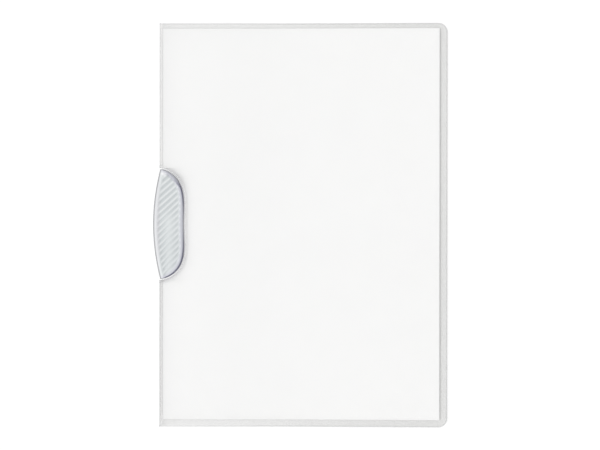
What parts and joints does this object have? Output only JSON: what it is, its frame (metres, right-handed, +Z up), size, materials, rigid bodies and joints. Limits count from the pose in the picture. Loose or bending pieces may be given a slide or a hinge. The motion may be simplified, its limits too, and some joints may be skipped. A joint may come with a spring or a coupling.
{
  "type": "clip folder",
  "caption": "Flat A4 report folder with clear film covers that open like a book and a ribbed clip that swings out at the spine to hold loose sheets.",
  "frame": {"origin": "under the middle of the whole outline, on the surface that the folder lies on", "axes": "+X from the spine to the covers' free edge, +Y up the page, +Z up through the thickness, out of the front cover"},
  "size_m": [0.2234, 0.3064, 0.0073],
  "materials": {
    "clear_film": "satin",
    "clip_plastic": "satin",
    "rivet_plastic": "satin",
    "white_paper": "matte"
  },
  "bodies": {
    "back": {"back_cover": "clear_film", "paper_sheets": "white_paper", "pivot_rivet": "rivet_plastic"},
    "cover": {"front_cover": "clear_film"},
    "clip": {"swing_clip": "clip_plastic"}
  },
  "joints": [
    {"name": "cover_hinge", "type": "hinge", "parent": "back", "child": "cover", "pos_m": [-0.1068, 0, 0.0073], "axis": [0, -1, 0], "range_deg": [0, 180]},
    {"name": "clip_swing", "type": "hinge", "parent": "back", "child": "clip", "pos_m": [-0.1028, -0.03605, 0], "axis": [0, 0, 1], "range_deg": [0, 90]}
  ]
}
